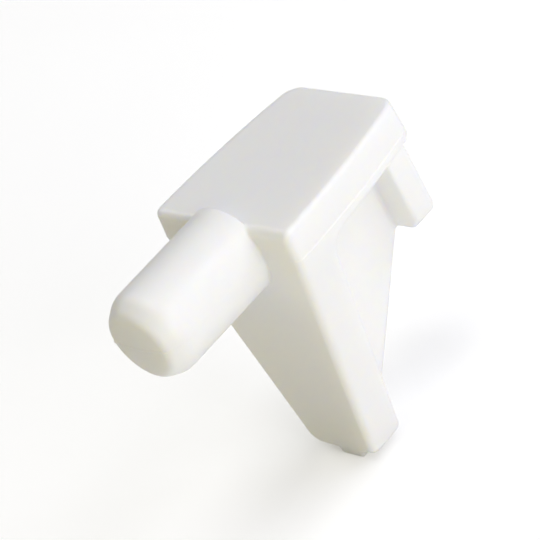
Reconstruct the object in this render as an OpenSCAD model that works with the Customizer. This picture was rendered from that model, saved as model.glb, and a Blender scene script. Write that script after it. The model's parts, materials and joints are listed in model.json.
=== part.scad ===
// Shelf support: a one-piece moulded plastic bracket with a plug-in pin.
// The frame is the one it is used in. The wall face lies in the plane x = 0 and the
// pin runs along -X from it. The shelf rests on the top face and runs out along +X.
// The origin is on the pin's axis in the wall face, and z = 0 is the mould's parting plane.

/* [Pin] */
// Diameter of the pin that plugs into the hole
pin_d = 6.35; // [4:0.05:7]
// Length of the pin from the wall face to its tip
pin_len = 9.2; // [6:0.1:14]
// Length of the tapered lead-in at the tip
lead_len = 1.2; // [0.4:0.1:2]
// How much the lead-in takes off the pin's radius
lead_drop = 0.68; // [0.2:0.02:0.9]
// How far the crowned tip stands out past the lead-in
tip_crown = 0.18; // [0.05:0.01:0.3]
// How far the pin's upper side runs on over the top face
pin_run_on = 0.6; // [0.2:0.05:1.5]
// How much the pin's radius falls off along that run
run_on_drop = 0.08; // [0.02:0.02:0.3]

/* [Plate] */
// Width of the plate where it meets the wall
plate_w = 12.7; // [10:0.1:16]
// Distance from the wall face to the plate's far end
plate_len = 13.25; // [11:0.05:20]
// Thickness of the plate
plate_t = 2.9; // [2.7:0.05:4.5]
// Height of the top face above the pin's axis
seat_rise = 2.1; // [1.5:0.05:2.6]
// Radius of the plate's long curved sides, seen from above
side_r = 69; // [50:1:120]
// How far behind the wall face the curved sides would be widest
side_start = 0.8; // [0.4:0.1:3]
// Radius of the plate's two far corners
corner_r = 1.2; // [1:0.1:3]

/* [Leg] */
// Distance from the pin's axis down to the foot of the leg
leg_drop = 17.45; // [14:0.05:24]
// Thickness of the leg at the plate
leg_t = 3.25; // [2.4:0.05:4]
// Width of the leg at its foot
foot_w = 5.9; // [4.4:0.1:8]
// Thickness of the leg at its foot
foot_t = 2.95; // [2.2:0.05:3.4]
// Radius of the foot's two lower corners
foot_r = 0.8; // [0.3:0.1:2]
// Radius of the inside corner between the plate and the leg
inner_r = 1.5; // [0.5:0.1:2.5]

/* [Web and end tab] */
// Thickness of the web that stiffens the inside corner
web_t = 1.9; // [1:0.1:3]
// Height of the web's lower end above the foot
web_lift = 0.35; // [0.1:0.05:3]
// Thickness of the tab that closes the web's outer end
tab_t = 2.0; // [1.2:0.1:2.8]
// Width of the end tab
tab_w = 6.6; // [4:0.1:8]
// How far the end tab hangs below the plate
tab_drop = 6.8; // [4:0.1:9]
// Radius of the tab's two lower corners
tab_r = 1.1; // [0.3:0.1:1.8]

/* [Moulding] */
// Draft of the plate's edges away from the parting plane, in degrees
draft = 3.5; // [0.5:0.5:6]
// Width of the gate vestige left on the foot
gate_w = 1.7; // [1:0.1:2.4]
// Thickness of the gate vestige
gate_t = 0.8; // [0.4:0.1:1.2]
// Height of the gate vestige below the foot
gate_h = 0.3; // [0.1:0.05:0.8]
// Distance of the gate vestige from the middle of the foot
gate_offset = 0.45; // [0:0.05:0.8]

/* [Hidden] */
$fn = 96;

pin_r = pin_d / 2;
tip_r = pin_r - lead_drop;
// Radius of the ball whose cap crowns the tip
crown_r = (tip_r * tip_r + tip_crown * tip_crown) / (2 * tip_crown);

half_w = plate_w / 2;
top_half_w = half_w - seat_rise * tan(draft);
under_z = seat_rise - plate_t;

// Centre of a far corner's arc, which is tangent to the curved side and to the end,
// and the direction in which the two arcs touch
side_y = half_w - sqrt(side_r * side_r - side_start * side_start);
corner_x = plate_len - corner_r;
corner_out = corner_x + side_start;
corner_y = side_y + sqrt(pow(side_r - corner_r, 2) - corner_out * corner_out);
corner_lean = corner_out / (side_r - corner_r);
corner_rise = (corner_y - side_y) / (side_r - corner_r);

// Centre of a foot corner's arc, which is tangent to the leg's slanted side
leg_slope = (half_w - foot_w / 2) / leg_drop;
leg_slant = sqrt(1 + leg_slope * leg_slope);
foot_z = foot_r - leg_drop;
foot_y = half_w + leg_slope * foot_z - foot_r * leg_slant;

// Centre of the arc in the inside corner, tangent to the plate and the leg, and the
// point where that arc runs into the leg
leg_lean = (leg_t - foot_t) / (leg_drop + under_z);
leg_tilt = sqrt(1 + leg_lean * leg_lean);
inner_z = under_z - inner_r;
inner_x = leg_t - leg_lean * inner_r + inner_r * leg_tilt;
inner_end_x = inner_x - inner_r / leg_tilt;
inner_end_z = inner_z + inner_r * leg_lean / leg_tilt;

tab_x = plate_len - tab_t;
tab_z = under_z - tab_drop;
web_foot_z = web_lift - leg_drop;

// Lays an outline drawn in X and Z across the whole width
module across(width) {
    rotate([90, 0, 0])
        linear_extrude(height = width, center = true)
            children();
}

// Runs an outline drawn in Y and Z along X, from x_from to x_to
module along(x_from, x_to) {
    translate([x_from, 0, 0])
        rotate([90, 0, 90])
            linear_extrude(height = x_to - x_from)
                children();
}

// What the rounding takes off the far corner on the +Y side
module corner_waste() {
    reach = 2 * corner_r;
    difference() {
        polygon([
            [corner_x, corner_y],
            [corner_x + corner_lean * reach, corner_y + corner_rise * reach],
            [plate_len + reach, half_w + reach],
            [plate_len + reach, corner_y]
        ]);
        translate([corner_x, corner_y])
            circle(r = corner_r);
    }
}

// Outline of the plate seen from above: curved sides that close in, and round corners
module plan_outline() {
    difference() {
        intersection() {
            translate([-side_start, side_y])
                circle(r = side_r, $fn = 720);
            translate([-side_start, -side_y])
                circle(r = side_r, $fn = 720);
            translate([0, -half_w])
                square([plate_len, plate_w]);
        }
        corner_waste();
        mirror([0, 1, 0])
            corner_waste();
    }
}

// Points on an arc about (x, y), from one angle to another
function arc(x, y, r, start, end, steps = 8) = [
    for (i = [0 : steps])
        let (angle = start + (end - start) * i / steps)
            [x + r * cos(angle), y + r * sin(angle)]
];

// Outline seen from the wall: widest at the parting plane, narrowing up and down
module front_outline() {
    side_angle = atan(leg_slope);
    polygon(concat(
        [
            [-half_w, 0],
            [-top_half_w, seat_rise],
            [top_half_w, seat_rise],
            [half_w, 0]
        ],
        arc(foot_y, foot_z, foot_r, -side_angle, -90),
        arc(-foot_y, foot_z, foot_r, -90, side_angle - 180)
    ));
}

// Outline seen from the side: the plate, the leg and the round inside corner
module side_outline() {
    end_taper = tan(draft);
    difference() {
        polygon([
            [0, seat_rise],
            [plate_len - seat_rise * end_taper, seat_rise],
            [plate_len, 0],
            [plate_len + under_z * end_taper, under_z],
            [inner_x, under_z],
            [inner_x, inner_z],
            [inner_end_x, inner_end_z],
            [foot_t, -leg_drop],
            [0, -leg_drop]
        ]);
        translate([inner_x, inner_z])
            circle(r = inner_r);
    }
}

// The plate and the leg, drawn as what the three outlines have in common
module bracket() {
    intersection() {
        across(2 * plate_w)
            side_outline();
        along(-1, plate_len + 1)
            front_outline();
        translate([0, 0, -leg_drop - 1])
            linear_extrude(height = leg_drop + seat_rise + 2)
                plan_outline();
    }
}

// The web between the plate and the leg, with its slanted free edge
module web() {
    across(web_t)
        polygon([
            [leg_t / 2, under_z / 2],
            [tab_x + tab_t / 2, under_z / 2],
            [tab_x + tab_t / 2, tab_z],
            [tab_x, tab_z],
            [foot_t, web_foot_z],
            [foot_t / 2, web_foot_z]
        ]);
}

// The tab that closes the web's outer end, narrower than the plate
module end_tab() {
    tab_y = tab_w / 2 - tab_r;
    along(tab_x, plate_len + under_z * tan(draft)) {
        translate([-tab_w / 2, tab_z + tab_r])
            square([tab_w, tab_drop - tab_r - under_z / 2]);
        translate([-tab_y, tab_z])
            square([2 * tab_y, tab_drop]);
        for (side = [-1, 1])
            translate([side * tab_y, tab_z + tab_r])
                circle(r = tab_r);
    }
}

// The pin, turned about the X axis, with its lead-in and crowned tip
module pin() {
    crown_steps = 6;
    crown = [
        for (i = [1 : crown_steps - 1])
            let (r = tip_r * (1 - i / crown_steps))
                [r, pin_len - crown_r + sqrt(crown_r * crown_r - r * r)]
    ];
    rotate([0, -90, 0])
        rotate_extrude()
            polygon(concat(
                [
                    [0, -pin_run_on],
                    [pin_r - run_on_drop, -pin_run_on],
                    [pin_r, 0],
                    [pin_r, pin_len - tip_crown - lead_len],
                    [tip_r, pin_len - tip_crown]
                ],
                crown,
                [[0, crown[crown_steps - 2][1]]]
            ));
}

// What is left of the gate on the foot, next to the wall face
module gate_vestige() {
    translate([0, -gate_offset - gate_w / 2, -leg_drop - gate_h])
        cube([gate_t, gate_w, gate_h + foot_r]);
}

module shelf_support() {
    color("whitesmoke")
        union() {
            bracket();
            web();
            end_tab();
            pin();
            gate_vestige();
        }
}

shelf_support();
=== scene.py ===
import functools
import json
import math

import bpy
import numpy as np
from mathutils import Matrix, Vector


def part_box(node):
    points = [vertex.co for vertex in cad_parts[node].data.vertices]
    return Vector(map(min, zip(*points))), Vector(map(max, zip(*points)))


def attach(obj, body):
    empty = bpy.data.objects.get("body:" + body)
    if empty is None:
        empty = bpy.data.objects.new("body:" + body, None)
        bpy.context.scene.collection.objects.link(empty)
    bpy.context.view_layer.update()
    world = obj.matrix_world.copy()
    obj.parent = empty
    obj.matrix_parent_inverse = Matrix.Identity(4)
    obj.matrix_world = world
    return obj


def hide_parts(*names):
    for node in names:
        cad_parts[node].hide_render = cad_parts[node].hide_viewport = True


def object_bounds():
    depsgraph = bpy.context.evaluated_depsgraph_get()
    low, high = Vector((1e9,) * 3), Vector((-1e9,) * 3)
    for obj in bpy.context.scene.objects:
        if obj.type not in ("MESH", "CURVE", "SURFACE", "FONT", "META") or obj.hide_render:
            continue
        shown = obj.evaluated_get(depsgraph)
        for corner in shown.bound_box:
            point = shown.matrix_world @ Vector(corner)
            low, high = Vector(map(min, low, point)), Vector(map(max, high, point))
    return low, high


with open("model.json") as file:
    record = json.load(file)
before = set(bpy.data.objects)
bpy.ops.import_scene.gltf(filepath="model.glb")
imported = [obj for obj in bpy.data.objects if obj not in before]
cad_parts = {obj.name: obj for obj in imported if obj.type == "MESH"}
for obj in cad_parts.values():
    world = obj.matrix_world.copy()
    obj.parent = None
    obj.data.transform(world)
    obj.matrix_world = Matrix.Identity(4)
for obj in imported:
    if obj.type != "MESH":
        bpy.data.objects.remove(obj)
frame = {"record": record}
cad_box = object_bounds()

# ---------------------------------------------------------------------------
# The camera: a long lens from above and to the left of the wall side, rolled
# so that the leg leans to the lower right.
# ---------------------------------------------------------------------------
MM = 0.001
CAMERA_PLACE = Vector((-92.34, -153.74, 106.71)) * MM
CAMERA_AIM = Vector((2.271, 0.655, -3.715)) * MM
CAMERA_ROLL = math.radians(29.562)
LENS = 223.2

camera = bpy.data.objects.new("camera", bpy.data.cameras.new("camera"))
bpy.context.collection.objects.link(camera)
camera.data.sensor_width = 36
camera.data.lens = LENS
camera.data.clip_start = 10 * MM
camera.data.clip_end = 10
towards = (CAMERA_AIM - CAMERA_PLACE).to_track_quat("-Z", "Y")
camera.matrix_world = (
    Matrix.Translation(CAMERA_PLACE)
    @ towards.to_matrix().to_4x4()
    @ Matrix.Rotation(-CAMERA_ROLL, 4, "Z")
)
bpy.context.scene.camera = camera

# ---------------------------------------------------------------------------
# The shelf support itself: one injection moulding in translucent white
# polyethylene. Pin, plate, leg, web and end tab are one body, so it is shaped
# as one closed surface, from the distance to its faces, edge radii included.
# ---------------------------------------------------------------------------
low, high = (np.array(corner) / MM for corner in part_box("shelf_support"))
mounts = {m["name"]: m for m in frame["record"]["mounts"]}

PIN_R = high[2]
PIN_TIP = -low[0]
PIN_FULL = mounts["pin"]["dims"]["length_mm"]
TIP_CROWN = 0.18
LEAD_DROP = 0.68
RUN_ON = 0.55

HALF_W = high[1] - 0.05
PLATE_END = high[0]
SEAT = mounts["shelf_face"]["pos_m"][2] / MM
UNDERSIDE = -0.78
SIDE_R = 62
CORNER_R = 1.15
DRAFT = math.tan(math.radians(3.5))

NUB_DROP = 0.3
FOOT = low[2] + NUB_DROP
FOOT_HALF = 2.95
FOOT_ARCH_R = 30
FOOT_R = 0.4
FOOT_R_LEFT = 1.0
LEG_TOP_T = 3.25
LEG_FOOT_T = 2.95
INNER_R = 1.4

WEB_HALF_TOP = 0.95
WEB_HALF_LOW = 0.85
WEB_LIFT = 0.35
WEB_FOOT_X = 3.1
TAB_X = PLATE_END - 2
TAB_HALF = 3.3
TAB_DROP = 6.82
TAB_R = 1.1

EDGE_R = 0.32
WALL_EDGE_R = 0.6
UNDER_R = 0.42
HALVES_SHIFT = 0.035
WALL_DRAFT = math.tan(math.radians(4.5))
LINE_H = 0.012
TIP_LINE_H = 0.05
LINE_W = 0.05


def rounded(radius, *faces):
    """What lies behind all these faces, with this radius where they meet."""
    deepest = functools.reduce(np.maximum, faces)
    outside = sum(np.maximum(face + radius, 0) ** 2 for face in faces)
    return np.minimum(deepest + radius, 0) + np.sqrt(outside) - radius


def filleted(radius, *bodies):
    """These bodies as one, with this radius in the corners between them."""
    return -rounded(radius, *(-body for body in bodies))


def eased(width, one, other):
    """What lies behind both faces, where they meet at a blunt edge."""
    near = np.maximum(width - np.abs(one - other), 0) / width
    return np.maximum(one, other) + near**2 * width / 4


def pin_body(x, y, z):
    out, r = -x, np.hypot(y, z)
    tip_r = PIN_R - LEAD_DROP
    lead_len = PIN_TIP - TIP_CROWN - PIN_FULL
    slant = math.hypot(lead_len, LEAD_DROP)
    lead_in = ((out - PIN_FULL) * LEAD_DROP + (r - PIN_R) * lead_len) / slant
    crown_r = (tip_r**2 + TIP_CROWN**2) / (2 * TIP_CROWN)
    crown = np.hypot(out - PIN_TIP + crown_r, r) - crown_r
    turned = eased(0.3, eased(0.25, r - PIN_R, lead_in), crown)
    return rounded(0.15, turned, x - RUN_ON)


def bracket_body(x, y, z):
    across = np.abs(y - HALVES_SHIFT * np.tanh(z / 0.03))
    side = np.hypot(x, across - HALF_W + SIDE_R) - SIDE_R + np.abs(z) * DRAFT
    plan = rounded(CORNER_R, side, x - PLATE_END)
    lean = (HALF_W - FOOT_HALF) / -FOOT
    leg_side = (across - HALF_W - lean * z) / math.hypot(1, lean)
    arch = FOOT + FOOT_ARCH_R - np.sqrt(FOOT_ARCH_R**2 - y**2)
    foot_r = np.where(y > 0, FOOT_R_LEFT, FOOT_R)
    outline = rounded(foot_r, eased(0.04, plan, leg_side), arch - z)
    taper = (LEG_TOP_T - LEG_FOOT_T) / (UNDERSIDE - FOOT)
    behind_leg = (x - LEG_FOOT_T - taper * (z - FOOT)) / math.hypot(1, taper)
    hollow = rounded(INNER_R, -behind_leg, z - UNDERSIDE)
    wall = np.maximum(z, 0) * WALL_DRAFT - x
    outside = rounded(WALL_EDGE_R, rounded(EDGE_R, outline, z - SEAT), wall)
    return rounded(UNDER_R, outside, -hollow)


def web_body(x, y, z):
    thick = WEB_HALF_LOW + (WEB_HALF_TOP - WEB_HALF_LOW) * (z - FOOT) / (
        UNDERSIDE - FOOT
    )
    web_foot = FOOT + WEB_LIFT
    run, rise = TAB_X + 0.2 - WEB_FOOT_X, UNDERSIDE - TAB_DROP - web_foot
    slope = ((x - WEB_FOOT_X) * rise - (z - web_foot) * run) / math.hypot(run, rise)
    ends = np.maximum(np.maximum(LEG_FOOT_T / 2 - x, x - TAB_X - 1), web_foot - z)
    return rounded(0.25, np.abs(y) - thick, slope, ends, z - UNDERSIDE / 2)


def tab_body(x, y, z):
    outline = rounded(TAB_R, np.abs(y) - TAB_HALF, UNDERSIDE - TAB_DROP - z)
    return rounded(0.25, outline, TAB_X - x, x - PLATE_END, z - UNDERSIDE / 2)


def gate_nub(x, y, z):
    return rounded(
        0.15, np.abs(y + 0.65) - 1.0, x - 0.8, 0.05 - x, FOOT - NUB_DROP + 0.02 - z, z - FOOT - 1
    )


def moulding(x, y, z):
    """Distance in mm to the whole moulding's surface, negative inside it."""
    body = filleted(0.3, bracket_body(x, y, z), web_body(x, y, z))
    body = filleted(0.3, body, tab_body(x, y, z))
    body = filleted(0.15, body, pin_body(x, y, z), gate_nub(x, y, z))
    # the parting line: a fine crease, and a hair of flash across the pin's end
    line = np.where(x < 0.3 - PIN_TIP, TIP_LINE_H, -LINE_H)
    return body - line * np.exp(-((z / LINE_W) ** 2))


def steps(start, end, step):
    return np.linspace(start, end, int(math.ceil((end - start) / step)) + 1)


def surface(field, xs, ys, zs):
    """The field's zero surface over a box of cells, as points and four-sided faces."""
    values = field(xs[:, None, None], ys[None, :, None], zs[None, None, :])
    inside = values < 0
    shape = np.array(values.shape)
    cells = shape - 1
    total = np.zeros((*cells, 3))
    count = np.zeros(cells)
    lines = (xs, ys, zs)
    faces = []
    for axis in range(3):
        b, c = (axis + 1) % 3, (axis + 2) % 3
        first = [slice(None)] * 3
        first[axis] = slice(0, -1)
        second = [slice(None)] * 3
        second[axis] = slice(1, None)
        crossing = inside[tuple(first)] != inside[tuple(second)]
        at = np.argwhere(crossing)
        v0 = values[tuple(first)][crossing]
        v1 = values[tuple(second)][crossing]
        share = v0 / (v0 - v1)
        point = np.empty((len(at), 3))
        for k in range(3):
            point[:, k] = lines[k][at[:, k]]
        gap = np.diff(lines[axis])[at[:, axis]]
        point[:, axis] += share * gap
        around = []
        for db, dc in ((0, 0), (1, 0), (1, 1), (0, 1)):
            cell = at.copy()
            cell[:, b] -= 1 - db
            cell[:, c] -= 1 - dc
            around.append(cell)
            np.add.at(total, tuple(cell.T), point)
            np.add.at(count, tuple(cell.T), 1)
        ring = np.stack(
            [np.ravel_multi_index(tuple(cell.T), tuple(cells)) for cell in around], 1
        )
        leaving = v0 < 0
        ring[~leaving] = ring[~leaving][:, ::-1]
        faces.append(ring)
    faces = np.concatenate(faces)
    used = np.flatnonzero(count.ravel())
    points = total.reshape(-1, 3)[used] / count.ravel()[used][:, None]
    order = np.full(count.size, -1)
    order[used] = np.arange(len(used))
    return points, order[faces]


def gradient(field, points, reach):
    slope = np.empty_like(points)
    for k in range(3):
        ahead, back = points.copy(), points.copy()
        ahead[:, k] += reach
        back[:, k] -= reach
        slope[:, k] = (field(*ahead.T) - field(*back.T)) / (2 * reach)
    return slope


CELL = 0.14
margin = 0.3
below_line = steps(low[2] - margin, -0.12, CELL)
at_line = steps(-0.12, 0.12, 0.03)
above_line = steps(0.12, high[2] + margin, CELL)
points, faces = surface(
    moulding,
    steps(low[0] - margin, high[0] + margin, CELL),
    steps(low[1] - margin, high[1] + margin, CELL),
    np.concatenate([below_line, at_line[1:-1], above_line]),
)
for _ in range(2):
    slope = gradient(moulding, points, 0.01)
    steep = np.maximum((slope**2).sum(1), 0.25)
    points -= slope * np.clip(moulding(*points.T), -0.05, 0.05)[:, None] / steep[:, None]
points = np.clip(points, low, high)
normals = gradient(moulding, points, 0.02)
normals /= np.linalg.norm(normals, axis=1)[:, None]

mesh = bpy.data.meshes.new("moulded_body")
mesh.from_pydata((points * MM).tolist(), [], faces.tolist())
mesh.validate()
mesh.polygons.foreach_set("use_smooth", [True] * len(mesh.polygons))
mesh.normals_split_custom_set_from_vertices(normals.tolist())
moulded_body = bpy.data.objects.new("moulded_body", mesh)
bpy.context.collection.objects.link(moulded_body)


def linear(code):
    """An sRGB hex colour as the linear numbers that a shader takes."""
    parts = (int(code[i : i + 2], 16) / 255 for i in (1, 3, 5))
    return [p / 12.92 if p <= 0.04045 else ((p + 0.055) / 1.055) ** 2.4 for p in parts] + [1]


def add(tree, kind, inputs=(), links=(), **settings):
    """Adds a node with its settings, its inputs' values and the links into it."""
    node = tree.nodes.new(kind)
    for name, value in settings.items():
        setattr(node, name, value)
    for name, value in dict(inputs).items():
        node.inputs[name].default_value = value
    for name, source in dict(links).items():
        tree.links.new(source, node.inputs[name])
    return node


# Natural low-density polyethylene, injection moulded against a fine-spark mould:
# milky and slightly see-through, satin, a little warmer where it is thick.
polyethylene = bpy.data.materials.new("natural_polyethylene_moulded")
polyethylene.use_nodes = True
tree = polyethylene.node_tree
tree.nodes.clear()
place = add(tree, "ShaderNodeTexCoord").outputs["Object"]
cloud = add(tree, "ShaderNodeTexNoise", {"Scale": 1 / (6 * MM), "Detail": 2}, {"Vector": place})
grain = add(tree, "ShaderNodeTexNoise", {"Scale": 1 / (0.25 * MM), "Detail": 3}, {"Vector": place})
tone = add(tree, "ShaderNodeValToRGB", links={"Fac": cloud.outputs["Fac"]})
tone.color_ramp.elements[0].position = 0.35
tone.color_ramp.elements[0].color = linear("#F5F5F4")
tone.color_ramp.elements[1].position = 0.65
tone.color_ramp.elements[1].color = linear("#F6F6F5")
gloss = add(
    tree,
    "ShaderNodeMapRange",
    {"From Min": 0.3, "From Max": 0.7, "To Min": 0.33, "To Max": 0.41},
    {"Value": grain.outputs["Fac"]},
)
relief = add(
    tree,
    "ShaderNodeBump",
    {"Strength": 0.05, "Distance": 0.02 * MM},
    {"Height": grain.outputs["Fac"]},
)
plastic = add(
    tree,
    "ShaderNodeBsdfPrincipled",
    {
        "IOR": 1.51,
        "Subsurface Weight": 1.0,
        "Subsurface Radius": (1.0, 0.9, 0.65),
        "Subsurface Scale": 1.0 * MM,
    },
    {
        "Base Color": tone.outputs["Color"],
        "Roughness": gloss.outputs["Result"],
        "Normal": relief.outputs["Normal"],
    },
)
add(tree, "ShaderNodeOutputMaterial", links={"Surface": plastic.outputs["BSDF"]})
mesh.materials.append(polyethylene)

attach(moulded_body, "root")
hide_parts("shelf_support")

# ---------------------------------------------------------------------------
# The floor: a plain pale table top under the foot.
# ---------------------------------------------------------------------------
FLOOR_HALF = 1.5
FLOOR_GLOW = 0.30
PALE = 0.95
floor_z = cad_box[0].z - 0.02 * MM
corners = [(-1, -1), (1, -1), (1, 1), (-1, 1)]
floor_mesh = bpy.data.meshes.new("floor")
floor_mesh.from_pydata([(x * FLOOR_HALF, y * FLOOR_HALF, floor_z) for x, y in corners], [], [(0, 1, 2, 3)])
floor = bpy.data.objects.new("floor", floor_mesh)
bpy.context.collection.objects.link(floor)
table_top = bpy.data.materials.new("white_table_top")
table_top.use_nodes = True
tree = table_top.node_tree
tree.nodes.clear()
speckle = add(tree, "ShaderNodeTexNoise", {"Scale": 1 / (30 * MM)}, {"Vector": add(tree, "ShaderNodeTexCoord").outputs["Object"]})
pale = add(tree, "ShaderNodeValToRGB", links={"Fac": speckle.outputs["Fac"]})
pale.color_ramp.elements[0].color = linear("#F8F8F8")
pale.color_ramp.elements[1].color = linear("#FBFBFB")
# the table's own glow keeps it pale far from the lamps; it is seen directly
# but throws no light on the part
seen = add(tree, "ShaderNodeLightPath").outputs["Is Camera Ray"]
away = add(tree, "ShaderNodeVectorMath", links={0: add(tree, "ShaderNodeTexCoord").outputs["Object"]}, operation="LENGTH")
far_glow = add(
    tree,
    "ShaderNodeMapRange",
    {"From Min": 180 * MM, "From Max": 330 * MM, "To Min": FLOOR_GLOW, "To Max": PALE},
    {"Value": away.outputs["Value"]},
)
glow = add(tree, "ShaderNodeMath", links={0: seen, 1: far_glow.outputs["Result"]}, operation="MULTIPLY")
top = add(
    tree,
    "ShaderNodeBsdfPrincipled",
    {"Roughness": 0.8, "Specular IOR Level": 0.1, "Emission Color": (1, 1, 1, 1)},
    {"Base Color": pale.outputs["Color"], "Emission Strength": glow.outputs["Value"]},
)
add(tree, "ShaderNodeOutputMaterial", links={"Surface": top.outputs["BSDF"]})
floor_mesh.materials.append(table_top)

# ---------------------------------------------------------------------------
# The light: soft boxes round the part, the brightest on its -Y side.
# ---------------------------------------------------------------------------
middle = (cad_box[0] + cad_box[1]) / 2
LIGHT_WAY = 300 * MM
SOFT_BOXES = {
    # name: (azimuth, elevation, size in mm, watts, colour)
    "side": (0, 20, 160, 0.245, "#F4F2FF"),
    "side_left": (-20, 10, 160, 0.205, "#FFFFEA"),
    "overhead": (0, 89, 160, 0.265, "#FFFFFF"),
    "right": (40, 40, 160, 0.22, "#F2F3FF"),
    "end": (80, 30, 160, 0.15, "#FFFFFF"),
    "behind": (180, 40, 160, 0.145, "#FFFFFF"),
    "wall_side": (-90, 15, 160, 0.08, "#FFE85A"),
}
for name, (azimuth, elevation, size, watts, colour) in SOFT_BOXES.items():
    lamp = bpy.data.lights.new(name, "AREA")
    lamp.shape = "SQUARE"
    lamp.size = size * MM
    lamp.energy = watts
    lamp.color = linear(colour)[:3]
    a, e = math.radians(azimuth), math.radians(elevation)
    way = Vector((math.sin(a) * math.cos(e), -math.cos(a) * math.cos(e), math.sin(e)))
    holder = bpy.data.objects.new(name, lamp)
    holder.location = middle + way * LIGHT_WAY
    holder.rotation_mode = "QUATERNION"
    holder.rotation_quaternion = (-way).to_track_quat("-Z", "Y")
    bpy.context.collection.objects.link(holder)

# The room: dim for the part, pale where the camera sees past the table's edge.
SKY = 0.085
world = bpy.data.worlds.new("studio")
bpy.context.scene.world = world
world.use_nodes = True
tree = world.node_tree
tree.nodes.clear()
seen = add(tree, "ShaderNodeLightPath").outputs["Is Camera Ray"]
strength = add(tree, "ShaderNodeMapRange", {"To Min": SKY, "To Max": PALE}, {"Value": seen})
sky = add(
    tree,
    "ShaderNodeBackground",
    {"Color": linear("#FFFFFA")},
    {"Strength": strength.outputs["Result"]},
)
add(tree, "ShaderNodeOutputWorld", links={"Surface": sky.outputs["Background"]})

bpy.context.scene.view_settings.view_transform = "Standard"
bpy.context.scene.view_settings.look = "None"
